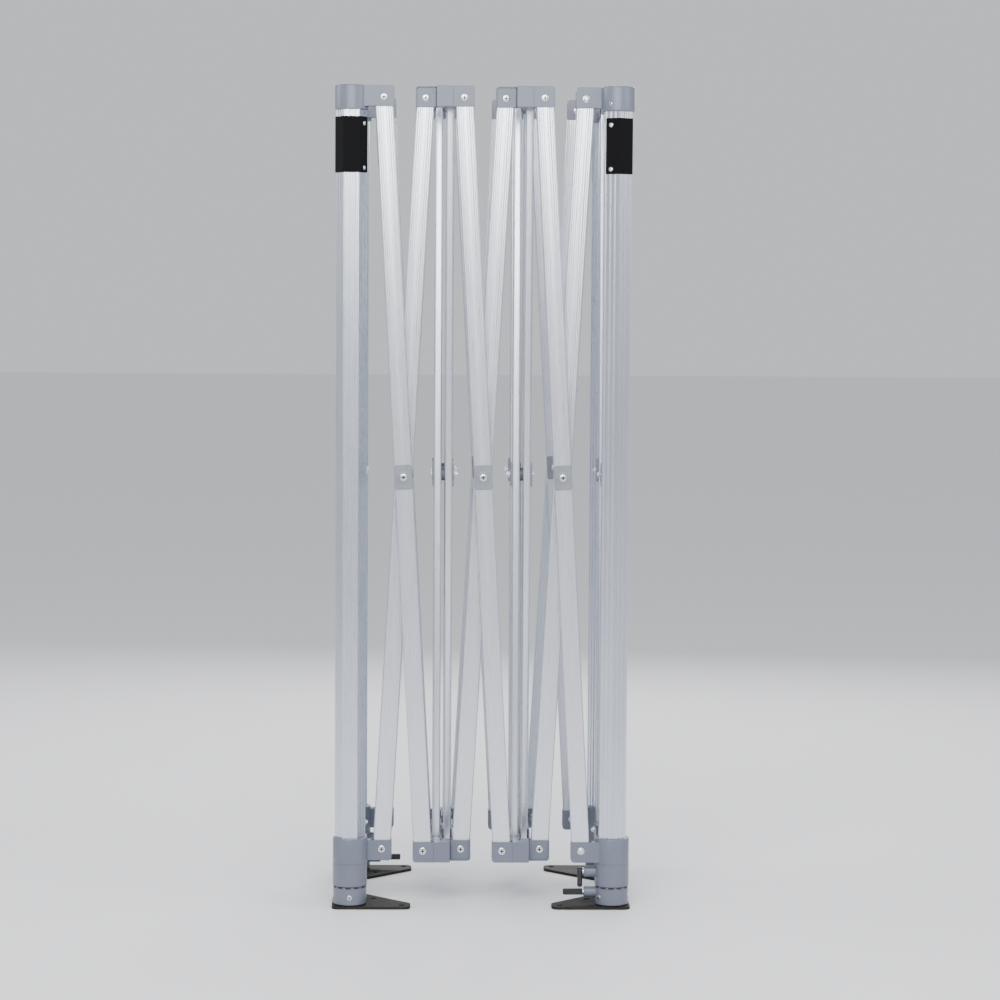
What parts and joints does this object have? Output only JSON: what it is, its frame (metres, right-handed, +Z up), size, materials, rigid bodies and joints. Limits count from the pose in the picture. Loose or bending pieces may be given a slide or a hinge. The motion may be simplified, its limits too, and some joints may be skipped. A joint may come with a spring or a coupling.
{
  "type": "folding tent frame",
  "caption": "Folded pop-up tent frame of hexagonal telescopic legs on triangular foot plates, joined on all sides and across by flat-bar scissor trusses.",
  "frame": {"origin": "on the floor, under the middle of the folded frame", "axes": "+X along the long side, +Y into the depth, +Z up"},
  "size_m": [0.566, 0.416, 1.55],
  "materials": {
    "bar": "satin anodised, drawn along the bar",
    "leg": "satin anodised, shallow flutes along the tube",
    "connector": "fine satin grain",
    "cap": "fine satin grain",
    "slider": "fine satin grain",
    "foot": "dark satin coating"
  },
  "bodies": {
    "front_top_connector_1": {"front_top_connector_1": "connector"},
    "front_bottom_connector_1": {"front_bottom_connector_1": "connector"},
    "front_top_connector_2": {"front_top_connector_2": "connector"},
    "front_bottom_connector_2": {"front_bottom_connector_2": "connector"},
    "rear_top_connector_1": {"rear_top_connector_1": "connector"},
    "rear_bottom_connector_1": {"rear_bottom_connector_1": "connector"},
    "rear_top_connector_2": {"rear_top_connector_2": "connector"},
    "rear_bottom_connector_2": {"rear_bottom_connector_2": "connector"},
    "right_top_connector_1": {"right_top_connector_1": "connector"},
    "right_bottom_connector_1": {"right_bottom_connector_1": "connector"},
    "left_top_connector_1": {"left_top_connector_1": "connector"},
    "left_bottom_connector_1": {"left_bottom_connector_1": "connector"},
    "cross_1_top_connector_1": {"cross_1_top_connector_1": "connector"},
    "cross_1_bottom_connector_1": {"cross_1_bottom_connector_1": "connector"},
    "cross_2_top_connector_1": {"cross_2_top_connector_1": "connector"},
    "cross_2_bottom_connector_1": {"cross_2_bottom_connector_1": "connector"},
    "front_left_leg": {"front_left_leg": "leg", "front_left_cap": "cap"},
    "front_left_slider": {"front_left_slider": "slider"},
    "front_left_inner_leg": {"front_left_inner_leg": "foot"},
    "front_right_leg": {"front_right_leg": "leg", "front_right_cap": "cap"},
    "front_right_slider": {"front_right_slider": "slider"},
    "front_right_inner_leg": {"front_right_inner_leg": "foot"},
    "rear_right_leg": {"rear_right_leg": "leg", "rear_right_cap": "cap"},
    "rear_right_slider": {"rear_right_slider": "slider"},
    "rear_right_inner_leg": {"rear_right_inner_leg": "foot"},
    "rear_left_leg": {"rear_left_leg": "leg", "rear_left_cap": "cap"},
    "rear_left_slider": {"rear_left_slider": "slider"},
    "rear_left_inner_leg": {"rear_left_inner_leg": "foot"},
    "front_bar_1_outer": {"front_bar_1_outer": "bar"},
    "front_bar_1_inner": {"front_bar_1_inner": "bar"},
    "front_bar_2_outer": {"front_bar_2_outer": "bar"},
    "front_bar_2_inner": {"front_bar_2_inner": "bar"},
    "front_bar_3_outer": {"front_bar_3_outer": "bar"},
    "front_bar_3_inner": {"front_bar_3_inner": "bar"},
    "right_bar_1_outer": {"right_bar_1_outer": "bar"},
    "right_bar_1_inner": {"right_bar_1_inner": "bar"},
    "right_bar_2_outer": {"right_bar_2_outer": "bar"},
    "right_bar_2_inner": {"right_bar_2_inner": "bar"},
    "rear_bar_1_outer": {"rear_bar_1_outer": "bar"},
    "rear_bar_1_inner": {"rear_bar_1_inner": "bar"},
    "rear_bar_2_outer": {"rear_bar_2_outer": "bar"},
    "rear_bar_2_inner": {"rear_bar_2_inner": "bar"},
    "rear_bar_3_outer": {"rear_bar_3_outer": "bar"},
    "rear_bar_3_inner": {"rear_bar_3_inner": "bar"},
    "left_bar_1_outer": {"left_bar_1_outer": "bar"},
    "left_bar_1_inner": {"left_bar_1_inner": "bar"},
    "left_bar_2_outer": {"left_bar_2_outer": "bar"},
    "left_bar_2_inner": {"left_bar_2_inner": "bar"},
    "cross_1_bar_1_outer": {"cross_1_bar_1_outer": "bar"},
    "cross_1_bar_1_inner": {"cross_1_bar_1_inner": "bar"},
    "cross_1_bar_2_outer": {"cross_1_bar_2_outer": "bar"},
    "cross_1_bar_2_inner": {"cross_1_bar_2_inner": "bar"},
    "cross_2_bar_1_outer": {"cross_2_bar_1_outer": "bar"},
    "cross_2_bar_1_inner": {"cross_2_bar_1_inner": "bar"},
    "cross_2_bar_2_outer": {"cross_2_bar_2_outer": "bar"},
    "cross_2_bar_2_inner": {"cross_2_bar_2_inner": "bar"}
  },
  "joints": [
    {"name": "frame_fold", "type": "hinge", "parent": "cross_1_top_connector_1", "child": "cross_1_bar_2_outer", "pos_m": [-0.075, -0.036, 1.527], "axis": [-1, 0, 0], "range_deg": [0, 73]},
    {"name": "cross_1_bar_2_inner_cross", "type": "hinge", "parent": "cross_1_bar_2_outer", "child": "cross_1_bar_2_inner", "pos_m": [-0.075, -0.075, 0.81815], "axis": [-1, 0, 0], "range_deg": [-146.5, 0.5]},
    {"name": "front_top_connector_1_hinge", "type": "hinge", "parent": "cross_1_bar_2_inner", "child": "front_top_connector_1", "pos_m": [-0.075, -0.114, 1.527], "axis": [-1, 0, 0], "range_deg": [-0.5, 73.5]},
    {"name": "front_bottom_connector_1_hinge", "type": "hinge", "parent": "cross_1_bar_2_outer", "child": "front_bottom_connector_1", "pos_m": [-0.075, -0.114, 0.1093], "axis": [-1, 0, 0], "range_deg": [-73.5, 0.5]},
    {"name": "cross_1_bottom_connector_1_hinge", "type": "hinge", "parent": "cross_1_bar_2_inner", "child": "cross_1_bottom_connector_1", "pos_m": [-0.075, -0.036, 0.1093], "axis": [-1, 0, 0], "range_deg": [-0.5, 73.5]},
    {"name": "cross_1_bar_1_inner_hinge", "type": "hinge", "parent": "cross_1_top_connector_1", "child": "cross_1_bar_1_inner", "pos_m": [-0.075, 0.036, 1.527], "axis": [-1, 0, 0], "range_deg": [-73.5, 0.5]},
    {"name": "cross_1_bar_1_outer_cross", "type": "hinge", "parent": "cross_1_bar_1_inner", "child": "cross_1_bar_1_outer", "pos_m": [-0.075, 0.075, 0.81815], "axis": [-1, 0, 0], "range_deg": [-0.5, 146.5]},
    {"name": "rear_top_connector_2_hinge", "type": "hinge", "parent": "cross_1_bar_1_outer", "child": "rear_top_connector_2", "pos_m": [-0.075, 0.114, 1.527], "axis": [-1, 0, 0], "range_deg": [-73.5, 0.5]},
    {"name": "rear_bottom_connector_2_hinge", "type": "hinge", "parent": "cross_1_bar_1_inner", "child": "rear_bottom_connector_2", "pos_m": [-0.075, 0.114, 0.1093], "axis": [-1, 0, 0], "range_deg": [-0.5, 73.5]},
    {"name": "front_bar_2_outer_hinge", "type": "hinge", "parent": "front_top_connector_1", "child": "front_bar_2_outer", "pos_m": [-0.039, -0.174, 1.527], "axis": [0, -1, 0], "range_deg": [-0.5, 73.5]},
    {"name": "front_bar_2_inner_cross", "type": "hinge", "parent": "front_bar_2_outer", "child": "front_bar_2_inner", "pos_m": [0, -0.174, 0.81815], "axis": [0, -1, 0], "range_deg": [-146.5, 0.5]},
    {"name": "front_top_connector_2_hinge", "type": "hinge", "parent": "front_bar_2_inner", "child": "front_top_connector_2", "pos_m": [0.039, -0.174, 1.527], "axis": [0, -1, 0], "range_deg": [-0.5, 73.5]},
    {"name": "front_bottom_connector_2_hinge", "type": "hinge", "parent": "front_bar_2_outer", "child": "front_bottom_connector_2", "pos_m": [0.039, -0.174, 0.1093], "axis": [0, -1, 0], "range_deg": [-73.5, 0.5]},
    {"name": "front_bar_1_inner_hinge", "type": "hinge", "parent": "front_top_connector_1", "child": "front_bar_1_inner", "pos_m": [-0.111, -0.174, 1.527], "axis": [0, -1, 0], "range_deg": [-73.5, 0.5]},
    {"name": "front_bar_1_outer_cross", "type": "hinge", "parent": "front_bar_1_inner", "child": "front_bar_1_outer", "pos_m": [-0.15, -0.174, 0.81815], "axis": [0, -1, 0], "range_deg": [-0.5, 146.5]},
    {"name": "front_left_leg_hinge", "type": "hinge", "parent": "front_bar_1_outer", "child": "front_left_leg", "pos_m": [-0.189, -0.174, 1.527], "axis": [0, -1, 0], "range_deg": [-73.5, 0.5]},
    {"name": "front_left_slider_hinge", "type": "hinge", "parent": "front_bar_1_inner", "child": "front_left_slider", "pos_m": [-0.189, -0.174, 0.1093], "axis": [0, -1, 0], "range_deg": [-0.5, 73.5]},
    {"name": "rear_bar_3_outer_hinge", "type": "hinge", "parent": "rear_top_connector_2", "child": "rear_bar_3_outer", "pos_m": [-0.111, 0.174, 1.527], "axis": [0, 1, 0], "range_deg": [-0.5, 73.5]},
    {"name": "rear_bar_3_inner_cross", "type": "hinge", "parent": "rear_bar_3_outer", "child": "rear_bar_3_inner", "pos_m": [-0.15, 0.174, 0.81815], "axis": [0, 1, 0], "range_deg": [-146.5, 0.5]},
    {"name": "rear_left_leg_hinge", "type": "hinge", "parent": "rear_bar_3_inner", "child": "rear_left_leg", "pos_m": [-0.189, 0.174, 1.527], "axis": [0, 1, 0], "range_deg": [-0.5, 73.5]},
    {"name": "rear_left_slider_hinge", "type": "hinge", "parent": "rear_bar_3_outer", "child": "rear_left_slider", "pos_m": [-0.189, 0.174, 0.1093], "axis": [0, 1, 0], "range_deg": [-73.5, 0.5]},
    {"name": "rear_bar_2_inner_hinge", "type": "hinge", "parent": "rear_top_connector_2", "child": "rear_bar_2_inner", "pos_m": [-0.039, 0.174, 1.527], "axis": [0, 1, 0], "range_deg": [-73.5, 0.5]},
    {"name": "rear_bar_2_outer_cross", "type": "hinge", "parent": "rear_bar_2_inner", "child": "rear_bar_2_outer", "pos_m": [0, 0.174, 0.81815], "axis": [0, 1, 0], "range_deg": [-0.5, 146.5]},
    {"name": "rear_top_connector_1_hinge", "type": "hinge", "parent": "rear_bar_2_outer", "child": "rear_top_connector_1", "pos_m": [0.039, 0.174, 1.527], "axis": [0, 1, 0], "range_deg": [-73.5, 0.5]},
    {"name": "rear_bottom_connector_1_hinge", "type": "hinge", "parent": "rear_bar_2_inner", "child": "rear_bottom_connector_1", "pos_m": [0.039, 0.174, 0.1093], "axis": [0, 1, 0], "range_deg": [-0.5, 73.5]},
    {"name": "front_bar_3_outer_hinge", "type": "hinge", "parent": "front_top_connector_2", "child": "front_bar_3_outer", "pos_m": [0.111, -0.174, 1.527], "axis": [0, -1, 0], "range_deg": [-0.5, 73.5]},
    {"name": "front_bar_3_inner_cross", "type": "hinge", "parent": "front_bar_3_outer", "child": "front_bar_3_inner", "pos_m": [0.15, -0.174, 0.81815], "axis": [0, -1, 0], "range_deg": [-146.5, 0.5]},
    {"name": "front_right_leg_hinge", "type": "hinge", "parent": "front_bar_3_inner", "child": "front_right_leg", "pos_m": [0.189, -0.174, 1.527], "axis": [0, -1, 0], "range_deg": [-0.5, 73.5]},
    {"name": "front_right_slider_hinge", "type": "hinge", "parent": "front_bar_3_outer", "child": "front_right_slider", "pos_m": [0.189, -0.174, 0.1093], "axis": [0, -1, 0], "range_deg": [-73.5, 0.5]},
    {"name": "cross_2_bar_1_outer_hinge", "type": "hinge", "parent": "front_top_connector_2", "child": "cross_2_bar_1_outer", "pos_m": [0.075, -0.114, 1.527], "axis": [1, 0, 0], "range_deg": [-0.5, 73.5]},
    {"name": "cross_2_bar_1_inner_cross", "type": "hinge", "parent": "cross_2_bar_1_outer", "child": "cross_2_bar_1_inner", "pos_m": [0.075, -0.075, 0.81815], "axis": [1, 0, 0], "range_deg": [-146.5, 0.5]},
    {"name": "cross_2_top_connector_1_hinge", "type": "hinge", "parent": "cross_2_bar_1_inner", "child": "cross_2_top_connector_1", "pos_m": [0.075, -0.036, 1.527], "axis": [1, 0, 0], "range_deg": [-0.5, 73.5]},
    {"name": "cross_2_bottom_connector_1_hinge", "type": "hinge", "parent": "cross_2_bar_1_outer", "child": "cross_2_bottom_connector_1", "pos_m": [0.075, -0.036, 0.1093], "axis": [1, 0, 0], "range_deg": [-73.5, 0.5]},
    {"name": "left_bar_2_inner_hinge", "type": "hinge", "parent": "front_left_leg", "child": "left_bar_2_inner", "pos_m": [-0.249, -0.114, 1.527], "axis": [-1, 0, 0], "range_deg": [-73.5, 0.5]},
    {"name": "left_bar_2_outer_cross", "type": "hinge", "parent": "left_bar_2_inner", "child": "left_bar_2_outer", "pos_m": [-0.249, -0.075, 0.81815], "axis": [-1, 0, 0], "range_deg": [-0.5, 146.5]},
    {"name": "left_top_connector_1_hinge", "type": "hinge", "parent": "left_bar_2_outer", "child": "left_top_connector_1", "pos_m": [-0.249, -0.036, 1.527], "axis": [-1, 0, 0], "range_deg": [-73.5, 0.5]},
    {"name": "left_bottom_connector_1_hinge", "type": "hinge", "parent": "left_bar_2_inner", "child": "left_bottom_connector_1", "pos_m": [-0.249, -0.036, 0.1093], "axis": [-1, 0, 0], "range_deg": [-0.5, 73.5]},
    {"name": "left_bar_1_outer_hinge", "type": "hinge", "parent": "rear_left_leg", "child": "left_bar_1_outer", "pos_m": [-0.249, 0.114, 1.527], "axis": [-1, 0, 0], "range_deg": [-0.5, 73.5]},
    {"name": "left_bar_1_inner_cross", "type": "hinge", "parent": "left_bar_1_outer", "child": "left_bar_1_inner", "pos_m": [-0.249, 0.075, 0.81815], "axis": [-1, 0, 0], "range_deg": [-146.5, 0.5]},
    {"name": "rear_bar_1_inner_hinge", "type": "hinge", "parent": "rear_top_connector_1", "child": "rear_bar_1_inner", "pos_m": [0.111, 0.174, 1.527], "axis": [0, 1, 0], "range_deg": [-73.5, 0.5]},
    {"name": "rear_bar_1_outer_cross", "type": "hinge", "parent": "rear_bar_1_inner", "child": "rear_bar_1_outer", "pos_m": [0.15, 0.174, 0.81815], "axis": [0, 1, 0], "range_deg": [-0.5, 146.5]},
    {"name": "rear_right_leg_hinge", "type": "hinge", "parent": "rear_bar_1_outer", "child": "rear_right_leg", "pos_m": [0.189, 0.174, 1.527], "axis": [0, 1, 0], "range_deg": [-73.5, 0.5]},
    {"name": "rear_right_slider_hinge", "type": "hinge", "parent": "rear_bar_1_inner", "child": "rear_right_slider", "pos_m": [0.189, 0.174, 0.1093], "axis": [0, 1, 0], "range_deg": [-0.5, 73.5]},
    {"name": "cross_2_bar_2_inner_hinge", "type": "hinge", "parent": "rear_top_connector_1", "child": "cross_2_bar_2_inner", "pos_m": [0.075, 0.114, 1.527], "axis": [1, 0, 0], "range_deg": [-73.5, 0.5]},
    {"name": "cross_2_bar_2_outer_cross", "type": "hinge", "parent": "cross_2_bar_2_inner", "child": "cross_2_bar_2_outer", "pos_m": [0.075, 0.075, 0.81815], "axis": [1, 0, 0], "range_deg": [-0.5, 146.5]},
    {"name": "right_bar_1_outer_hinge", "type": "hinge", "parent": "front_right_leg", "child": "right_bar_1_outer", "pos_m": [0.249, -0.114, 1.527], "axis": [1, 0, 0], "range_deg": [-0.5, 73.5]},
    {"name": "right_bar_1_inner_cross", "type": "hinge", "parent": "right_bar_1_outer", "child": "right_bar_1_inner", "pos_m": [0.249, -0.075, 0.81815], "axis": [1, 0, 0], "range_deg": [-146.5, 0.5]},
    {"name": "right_top_connector_1_hinge", "type": "hinge", "parent": "right_bar_1_inner", "child": "right_top_connector_1", "pos_m": [0.249, -0.036, 1.527], "axis": [1, 0, 0], "range_deg": [-0.5, 73.5]},
    {"name": "right_bottom_connector_1_hinge", "type": "hinge", "parent": "right_bar_1_outer", "child": "right_bottom_connector_1", "pos_m": [0.249, -0.036, 0.1093], "axis": [1, 0, 0], "range_deg": [-73.5, 0.5]},
    {"name": "right_bar_2_inner_hinge", "type": "hinge", "parent": "rear_right_leg", "child": "right_bar_2_inner", "pos_m": [0.249, 0.114, 1.527], "axis": [1, 0, 0], "range_deg": [-73.5, 0.5]},
    {"name": "right_bar_2_outer_cross", "type": "hinge", "parent": "right_bar_2_inner", "child": "right_bar_2_outer", "pos_m": [0.249, 0.075, 0.81815], "axis": [1, 0, 0], "range_deg": [-0.5, 146.5]},
    {"name": "front_left_leg_extension", "type": "slide", "parent": "front_left_leg", "child": "front_left_inner_leg", "axis": [0, 0, -1], "range_m": [0, 0.75]},
    {"name": "front_right_leg_extension", "type": "slide", "parent": "front_right_leg", "child": "front_right_inner_leg", "axis": [0, 0, -1], "range_m": [0, 0.75]},
    {"name": "rear_right_leg_extension", "type": "slide", "parent": "rear_right_leg", "child": "rear_right_inner_leg", "axis": [0, 0, -1], "range_m": [0, 0.75]},
    {"name": "rear_left_leg_extension", "type": "slide", "parent": "rear_left_leg", "child": "rear_left_inner_leg", "axis": [0, 0, -1], "range_m": [0, 0.75]}
  ],
  "couplings": [
    {"joint": "cross_1_bar_2_inner_cross", "follows": "frame_fold", "ratio": -2},
    {"joint": "front_top_connector_1_hinge", "follows": "frame_fold", "ratio": 1},
    {"joint": "front_bottom_connector_1_hinge", "follows": "frame_fold", "ratio": -1},
    {"joint": "cross_1_bottom_connector_1_hinge", "follows": "frame_fold", "ratio": 1},
    {"joint": "cross_1_bar_1_inner_hinge", "follows": "frame_fold", "ratio": -1},
    {"joint": "cross_1_bar_1_outer_cross", "follows": "frame_fold", "ratio": 2},
    {"joint": "rear_top_connector_2_hinge", "follows": "frame_fold", "ratio": -1},
    {"joint": "rear_bottom_connector_2_hinge", "follows": "frame_fold", "ratio": 1},
    {"joint": "front_bar_2_outer_hinge", "follows": "frame_fold", "ratio": 1},
    {"joint": "front_bar_2_inner_cross", "follows": "frame_fold", "ratio": -2},
    {"joint": "front_top_connector_2_hinge", "follows": "frame_fold", "ratio": 1},
    {"joint": "front_bottom_connector_2_hinge", "follows": "frame_fold", "ratio": -1},
    {"joint": "front_bar_1_inner_hinge", "follows": "frame_fold", "ratio": -1},
    {"joint": "front_bar_1_outer_cross", "follows": "frame_fold", "ratio": 2},
    {"joint": "front_left_leg_hinge", "follows": "frame_fold", "ratio": -1},
    {"joint": "front_left_slider_hinge", "follows": "frame_fold", "ratio": 1},
    {"joint": "rear_bar_3_outer_hinge", "follows": "frame_fold", "ratio": 1},
    {"joint": "rear_bar_3_inner_cross", "follows": "frame_fold", "ratio": -2},
    {"joint": "rear_left_leg_hinge", "follows": "frame_fold", "ratio": 1},
    {"joint": "rear_left_slider_hinge", "follows": "frame_fold", "ratio": -1},
    {"joint": "rear_bar_2_inner_hinge", "follows": "frame_fold", "ratio": -1},
    {"joint": "rear_bar_2_outer_cross", "follows": "frame_fold", "ratio": 2},
    {"joint": "rear_top_connector_1_hinge", "follows": "frame_fold", "ratio": -1},
    {"joint": "rear_bottom_connector_1_hinge", "follows": "frame_fold", "ratio": 1},
    {"joint": "front_bar_3_outer_hinge", "follows": "frame_fold", "ratio": 1},
    {"joint": "front_bar_3_inner_cross", "follows": "frame_fold", "ratio": -2},
    {"joint": "front_right_leg_hinge", "follows": "frame_fold", "ratio": 1},
    {"joint": "front_right_slider_hinge", "follows": "frame_fold", "ratio": -1},
    {"joint": "cross_2_bar_1_outer_hinge", "follows": "frame_fold", "ratio": 1},
    {"joint": "cross_2_bar_1_inner_cross", "follows": "frame_fold", "ratio": -2},
    {"joint": "cross_2_top_connector_1_hinge", "follows": "frame_fold", "ratio": 1},
    {"joint": "cross_2_bottom_connector_1_hinge", "follows": "frame_fold", "ratio": -1},
    {"joint": "left_bar_2_inner_hinge", "follows": "frame_fold", "ratio": -1},
    {"joint": "left_bar_2_outer_cross", "follows": "frame_fold", "ratio": 2},
    {"joint": "left_top_connector_1_hinge", "follows": "frame_fold", "ratio": -1},
    {"joint": "left_bottom_connector_1_hinge", "follows": "frame_fold", "ratio": 1},
    {"joint": "left_bar_1_outer_hinge", "follows": "frame_fold", "ratio": 1},
    {"joint": "left_bar_1_inner_cross", "follows": "frame_fold", "ratio": -2},
    {"joint": "rear_bar_1_inner_hinge", "follows": "frame_fold", "ratio": -1},
    {"joint": "rear_bar_1_outer_cross", "follows": "frame_fold", "ratio": 2},
    {"joint": "rear_right_leg_hinge", "follows": "frame_fold", "ratio": -1},
    {"joint": "rear_right_slider_hinge", "follows": "frame_fold", "ratio": 1},
    {"joint": "cross_2_bar_2_inner_hinge", "follows": "frame_fold", "ratio": -1},
    {"joint": "cross_2_bar_2_outer_cross", "follows": "frame_fold", "ratio": 2},
    {"joint": "right_bar_1_outer_hinge", "follows": "frame_fold", "ratio": 1},
    {"joint": "right_bar_1_inner_cross", "follows": "frame_fold", "ratio": -2},
    {"joint": "right_top_connector_1_hinge", "follows": "frame_fold", "ratio": 1},
    {"joint": "right_bottom_connector_1_hinge", "follows": "frame_fold", "ratio": -1},
    {"joint": "right_bar_2_inner_hinge", "follows": "frame_fold", "ratio": -1},
    {"joint": "right_bar_2_outer_cross", "follows": "frame_fold", "ratio": 2}
  ]
}
